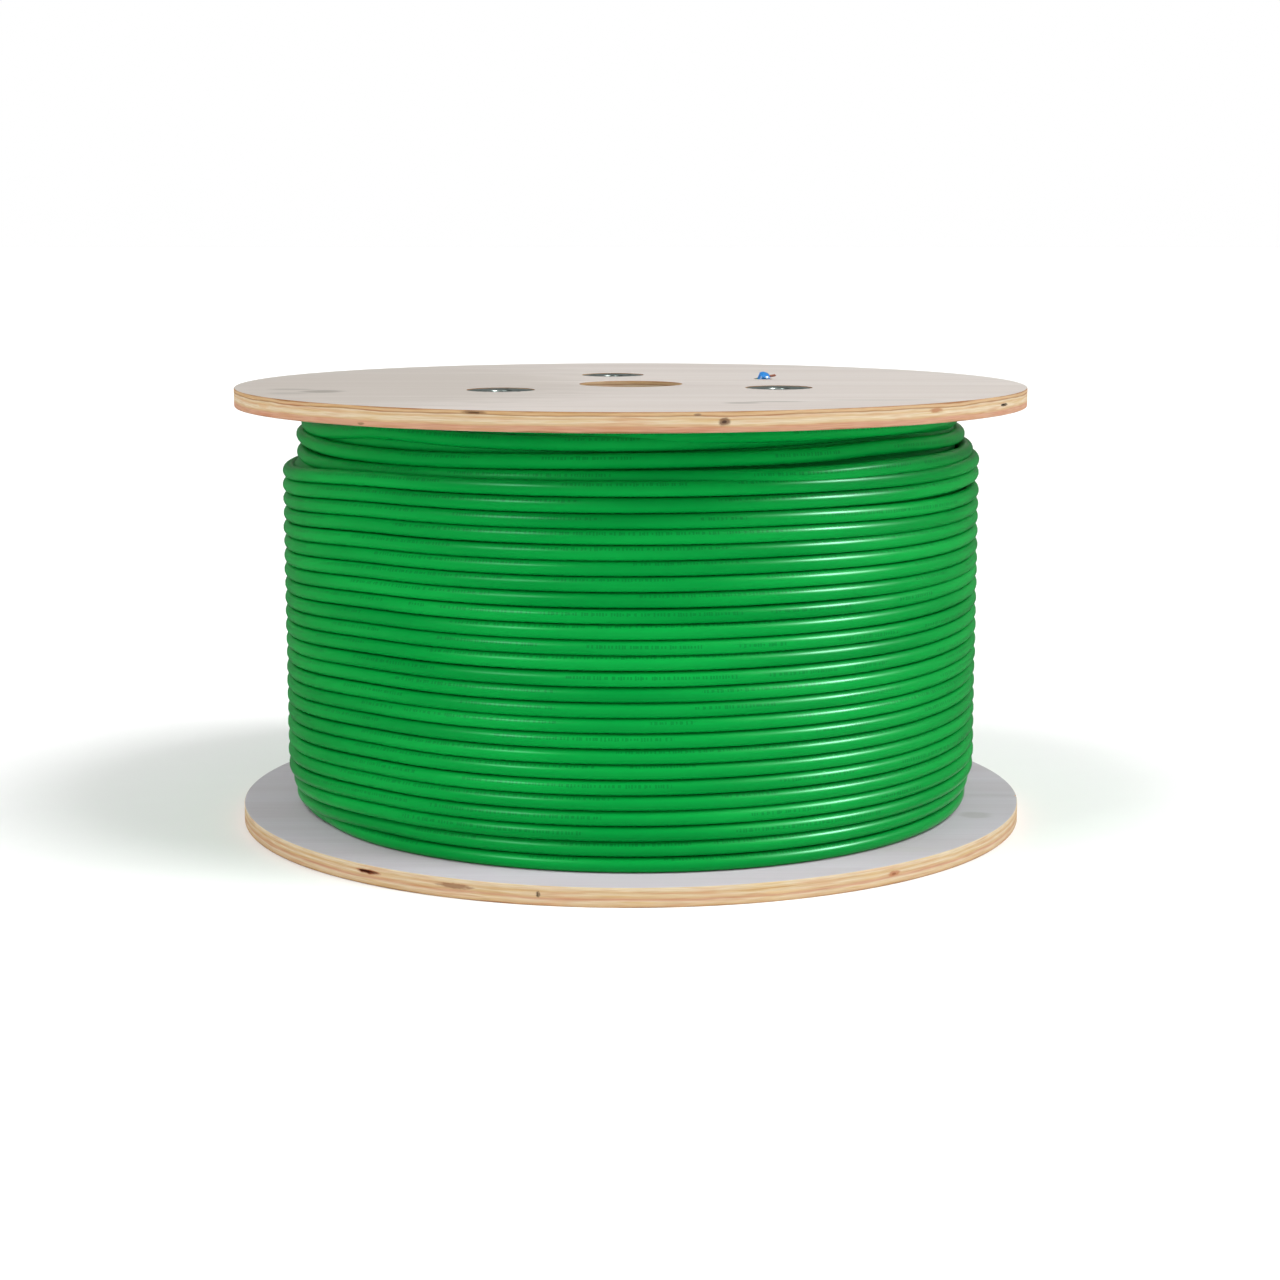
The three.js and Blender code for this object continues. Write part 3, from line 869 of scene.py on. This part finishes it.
class REEL_OT_fasteners(bpy.types.Operator):
    """Make the tee nuts in the top flange and the flat-headed bolts that screw into them"""
    bl_idname = "reel.fasteners"
    bl_label = "Nuts and bolts"

    def execute(self, context):
        zinc = zinc_material(context.scene.reel_colours)
        for i in BOLTS:
            self.make_nut(i, zinc)
            self.make_bolt(i, zinc)
        return {"FINISHED"}

    def place(self, bm, node_name, piece_name, zinc, turn=0.0):
        low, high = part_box(node_name)
        bmesh.ops.rotate(bm, verts=bm.verts, cent=(0, 0, 0), matrix=Matrix.Rotation(turn, 3, "Z"))
        bmesh.ops.translate(bm, verts=bm.verts, vec=((low.x + high.x) / 2, (low.y + high.y) / 2, 0))
        piece = object_of(bm, piece_name)
        smooth(piece, 30)
        piece.data.materials.append(zinc)
        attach(piece, "root")
        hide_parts(node_name)

    def make_nut(self, i, zinc):
        low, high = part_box(f"tee_nut_{i}")
        high.z += 0.45 * MM  # the rolled rim stands a little above the plate
        radius = (high.x - low.x) / 2
        plate = 2.0 * MM
        bore = 4.3 * MM
        wall = 1.7 * MM
        soft = 0.5 * MM
        dish = 2.2 * MM
        profile = ([(bore, low.z), (bore + wall, low.z), (bore + wall, high.z - plate),
                    (radius - soft, high.z - plate)]
                   + arc((radius - soft, high.z - soft), soft, 0, 90, 4)
                   + [(bore + wall + dish, high.z)]
                   + arc((bore + wall + 0.2 * MM, high.z - dish * 0.45), dish * 0.45, 90, 180, 5)[1:]
                   + [(bore, high.z - 2 * plate)])
        nut = object_of(spun(profile, 72, closed=True), "nut_blank")
        nails = [post(1.7 * MM, high.z - 3 * MM, high.z + MM,
                      (radius * 0.68 * math.cos(TURN * k / 3), radius * 0.68 * math.sin(TURN * k / 3)), 20)
                 for k in range(3)]
        cut_away(nut, gathered(nails))
        bm = bmesh.new()
        bm.from_mesh(nut.data)
        mesh = nut.data
        bpy.data.objects.remove(nut)
        bpy.data.meshes.remove(mesh)
        self.place(bm, f"tee_nut_{i}", f"tee_nut_plate_{i}", zinc, turn=0.7 * i)

    def make_bolt(self, i, zinc):
        low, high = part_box(f"tie_bolt_{i}")
        head_radius = (high.x - low.x) / 2
        head = 2 * MM
        shank = 4 * MM
        thread_pitch = 1.25 * MM
        thread_depth = 0.55 * MM
        threads = 18
        profile = [(0, low.z)]
        profile += arc((head_radius - head * 0.45, low.z + head * 0.45), head * 0.45, -90, 0, 4)
        profile += [(head_radius, low.z + head), (shank, low.z + head)]
        thread_start = high.z - MM - threads * thread_pitch
        for k in range(threads):
            z = thread_start + k * thread_pitch
            profile += [(shank, z), (shank - thread_depth, z + thread_pitch / 2)]
        profile += [(shank - 0.1 * MM, high.z - 0.9 * MM), (shank - 0.9 * MM, high.z), (0, high.z)]
        self.place(spun(profile, 48), f"tie_bolt_{i}", f"tie_bolt_rod_{i}", zinc)


# ---- Inner end ----

def leaving_way(sizes):
    """The direction in which the inner end leaves the flange."""
    level = math.cos(sizes.exit_slope)
    return Vector((level * math.cos(sizes.exit_heading), level * math.sin(sizes.exit_heading),
                   math.sin(sizes.exit_slope)))


def laid_along(bm, start, way):
    """Turns a bmesh built up the Z axis to run from start along a direction."""
    turn = Vector((0, 0, 1)).rotation_difference(way).to_matrix()
    bmesh.ops.rotate(bm, verts=bm.verts, cent=(0, 0, 0), matrix=turn)
    bmesh.ops.translate(bm, verts=bm.verts, vec=start)
    return bm


class REEL_OT_inner_end(bpy.types.Operator):
    """Make the bared core and wire of the cable's inner end"""
    bl_idname = "reel.inner_end"
    bl_label = "Inner end"

    def execute(self, context):
        sizes, colours = context.scene.reel_sizes, context.scene.reel_colours
        self.core(sizes, colours)
        self.wire(colours)
        return {"FINISHED"}

    def core(self, sizes, colours):
        low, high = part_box("inner_end_core")
        way = leaving_way(sizes)
        radius, length = 3.1 * MM, 4.3 * MM
        lap = 0.22 * MM
        profile = [(0, 0), (radius - lap, 0)]
        for k in range(4):
            z = length * (0.1 + 0.2 * k)
            profile += [(radius - lap, z), (radius, z + 0.12 * length)]
        profile += arc((radius * 0.62, length - radius * 0.34), radius * 0.34, 20, 90, 4)
        profile += [(0, length - 0.4 * MM)]
        bm = spun(profile, 40)
        laid_along(bm, (low + high) / 2 - way * length / 2, way)
        piece = object_of(bm, "core_wrap")
        smooth(piece, 40)
        piece.data.materials.append(wrap_material("polyester_wrap_blue", colours.core, 0.35))
        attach(piece, "root")
        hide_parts("inner_end_core")

    def wire(self, colours):
        low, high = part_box("inner_end_wire")
        radius = (high.y - low.y) / 2
        length = high.x - low.x
        way = Vector((high.x - low.x, 0, (high.z - low.z) - 2 * radius)).normalized()
        copper = radius * 0.45
        profile = [(0, 0), (radius * 0.9, 0), (radius, radius * 0.2), (radius, length * 0.82),
                   (radius * 0.86, length * 0.86), (copper, length * 0.87), (copper, length * 0.98),
                   (0, length * 0.99)]
        bm = spun(profile, 20)
        start = Vector((low.x - 1.3 * MM, (low.y + high.y) / 2, low.z + radius - MM))
        laid_along(bm, start, way)
        piece = object_of(bm, "bared_wire")
        smooth(piece, 40)
        piece.data.materials.append(wrap_material("wire_insulation_brown", colours.wire, 0.4))
        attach(piece, "root")
        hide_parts("inner_end_wire")


class REEL_OT_drum(bpy.types.Operator):
    """Give the drum its board finish"""
    bl_idname = "reel.drum"
    bl_label = "Drum"

    def execute(self, context):
        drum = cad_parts["drum"]
        drum.data.materials.clear()
        drum.data.materials.append(board_material(context.scene.reel_colours))
        return {"FINISHED"}


# ---- Stage ----

class REEL_OT_stage(bpy.types.Operator):
    """Set up the camera, the pale floor, the daylight, two broad lamps and two that only add gloss"""
    bl_idname = "reel.stage"
    bl_label = "Stage"

    def execute(self, context):
        studio = context.scene.reel_studio
        self.camera(context.scene, studio)
        self.floor(studio)
        self.daylight(context.scene, studio)
        for name, way, strength in (("key_lamp", (0.55, -0.21, 0.81), studio.key_light),
                                    ("fill_lamp", (-0.47, -0.29, 0.84), studio.fill_light)):
            self.lamp(name, way, strength, studio.lamp_spread).visible_glossy = False
        for name, way, strength in (("key_strip", (0.79, -0.15, 0.59), studio.key_gloss),
                                    ("fill_strip", (-0.56, -0.58, 0.59), studio.fill_gloss)):
            self.lamp(name, way, strength, studio.gloss_spread).visible_diffuse = False
        context.scene.view_settings.view_transform = "Standard"
        return {"FINISHED"}

    def camera(self, scene, studio):
        data = bpy.data.cameras.new("camera")
        data.lens = studio.lens
        data.sensor_width = 36
        camera = bpy.data.objects.new("camera", data)
        camera.location = (0, -studio.camera_distance, studio.camera_height)
        camera.rotation_euler = (math.pi / 2 - studio.camera_tilt, 0, -studio.camera_pan)
        scene.collection.objects.link(camera)
        scene.camera = camera

    def floor(self, studio):
        bm = bmesh.new()
        bmesh.ops.create_circle(bm, cap_ends=True, segments=96, radius=40)
        floor = object_of(bm, "floor")
        floor.data.materials.append(paper_material(studio.floor))
        floor.visible_glossy = False

    def daylight(self, scene, studio):
        world = bpy.data.worlds.new("daylight")
        world.use_nodes = True
        tree = world.node_tree
        tree.nodes.clear()
        way = node(tree, "ShaderNodeTexCoord").outputs["Generated"]
        height = node(tree, "ShaderNodeSeparateXYZ", {0: way}).outputs[2]
        glow = ranged(tree, height, 0.18, 0.6, studio.horizon, studio.overhead,
                      interpolation_type="SMOOTHSTEP")
        glossy = node(tree, "ShaderNodeLightPath").outputs["Is Glossy Ray"]
        strength = maths(tree, "MULTIPLY", glow, ranged(tree, glossy, 0.0, 1.0, 1.0, studio.mirrored))
        sky = node(tree, "ShaderNodeBackground", {"Color": (1, 1, 1, 1), "Strength": strength})
        node(tree, "ShaderNodeOutputWorld", {"Surface": sky.outputs[0]})
        scene.world = world

    def lamp(self, name, way, strength, spread):
        """A broad soft light from far away, in this direction."""
        data = bpy.data.lights.new(name, "SUN")
        data.energy = strength
        data.angle = spread
        lamp = bpy.data.objects.new(name, data)
        lamp.rotation_euler = Vector(way).to_track_quat("Z", "Y").to_euler()
        bpy.context.scene.collection.objects.link(lamp)
        return lamp


class REEL_PT_panel(bpy.types.Panel):
    """Lists the reel's operators, sizes and colours"""
    bl_idname = "REEL_PT_panel"
    bl_label = "Cable Reel"
    bl_space_type = "VIEW_3D"
    bl_region_type = "UI"
    bl_category = "Reel"

    def draw(self, context):
        for operator in OPERATORS:
            self.layout.operator(operator.bl_idname)
        for group in (context.scene.reel_sizes, context.scene.reel_colours, context.scene.reel_studio):
            box = self.layout.box()
            for name in group.bl_rna.properties.keys():
                if name not in ("rna_type", "name"):
                    box.prop(group, name)


OPERATORS = (REEL_OT_stage, REEL_OT_flanges, REEL_OT_winding, REEL_OT_fasteners, REEL_OT_inner_end,
             REEL_OT_drum)
GROUPS = {"reel_sizes": ReelSizes, "reel_colours": ReelColours, "reel_studio": StudioSettings}


def register():
    for cls in (*GROUPS.values(), *OPERATORS, REEL_PT_panel):
        bpy.utils.register_class(cls)
    for name, group in GROUPS.items():
        setattr(bpy.types.Scene, name, PointerProperty(type=group))


def unregister():
    for name in GROUPS:
        delattr(bpy.types.Scene, name)
    for cls in reversed((*GROUPS.values(), *OPERATORS, REEL_PT_panel)):
        bpy.utils.unregister_class(cls)


def main():
    register()
    bpy.ops.reel.stage()
    bpy.ops.reel.flanges()
    bpy.ops.reel.winding()
    bpy.ops.reel.fasteners()
    bpy.ops.reel.inner_end()
    bpy.ops.reel.drum()


if __name__ == "__main__":
    main()
